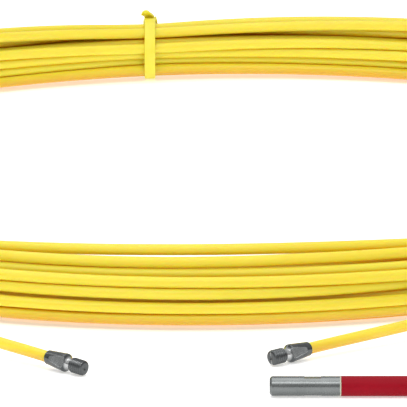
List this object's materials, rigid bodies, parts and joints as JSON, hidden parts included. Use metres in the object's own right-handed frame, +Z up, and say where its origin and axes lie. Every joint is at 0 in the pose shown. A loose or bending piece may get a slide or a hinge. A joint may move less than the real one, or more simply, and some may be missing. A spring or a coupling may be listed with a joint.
{
  "type": "fish tape coil",
  "caption": "Stiff pulling rod wound into a flat tied coil, with a threaded steel end at each end and a separate sheathed leader that has a female socket and a swivelling head with an eye.",
  "frame": {"origin": "centre of the coil's open eye, on the ground plane that the coil lies on", "axes": "+Z up along the coil's axis; the two rod ends and the leader lie on the -Y side"},
  "size_m": [0.5182, 0.6179, 0.035],
  "materials": {
    "tape_jacket": "smooth extruded yellow jacket",
    "fitting_steel": "turned, oiled dark steel",
    "glass_fibre": "bare glass-fibre rod",
    "tie_plastic": "slightly translucent moulded nylon",
    "leader_steel": "ground, satin steel",
    "seal_bead": "cured sealant",
    "red_sheath": "smooth satin plastic sheath",
    "wire_rope": "stranded steel rope"
  },
  "bodies": {
    "tape": {"tape_coil": "tape_jacket", "tape_start_lead": "tape_jacket", "tape_end_lead": "tape_jacket", "start_fitting": "fitting_steel", "end_fitting": "fitting_steel", "start_glass_core": "glass_fibre", "end_glass_core": "glass_fibre", "tie_back": "tie_plastic", "tie_left": "tie_plastic", "tie_right": "tie_plastic"},
    "leader": {"leader_socket": "leader_steel", "leader_front_seal": "seal_bead", "leader_sheath": "red_sheath", "leader_rear_seal": "seal_bead", "leader_rear_socket": "leader_steel", "leader_core": "wire_rope"},
    "pulling_head": {"swivel_pin": "leader_steel", "guide_head": "leader_steel"}
  },
  "joints": [
    {"name": "leader_lift", "type": "slide", "parent": "tape", "child": "leader", "axis": [0, 0, 1], "range_m": [0, 0.15]},
    {"name": "head_swivel", "type": "hinge", "parent": "leader", "child": "pulling_head", "pos_m": [0.1835, -0.3584, 0.004], "axis": [1, 0, 0], "continuous": true}
  ]
}
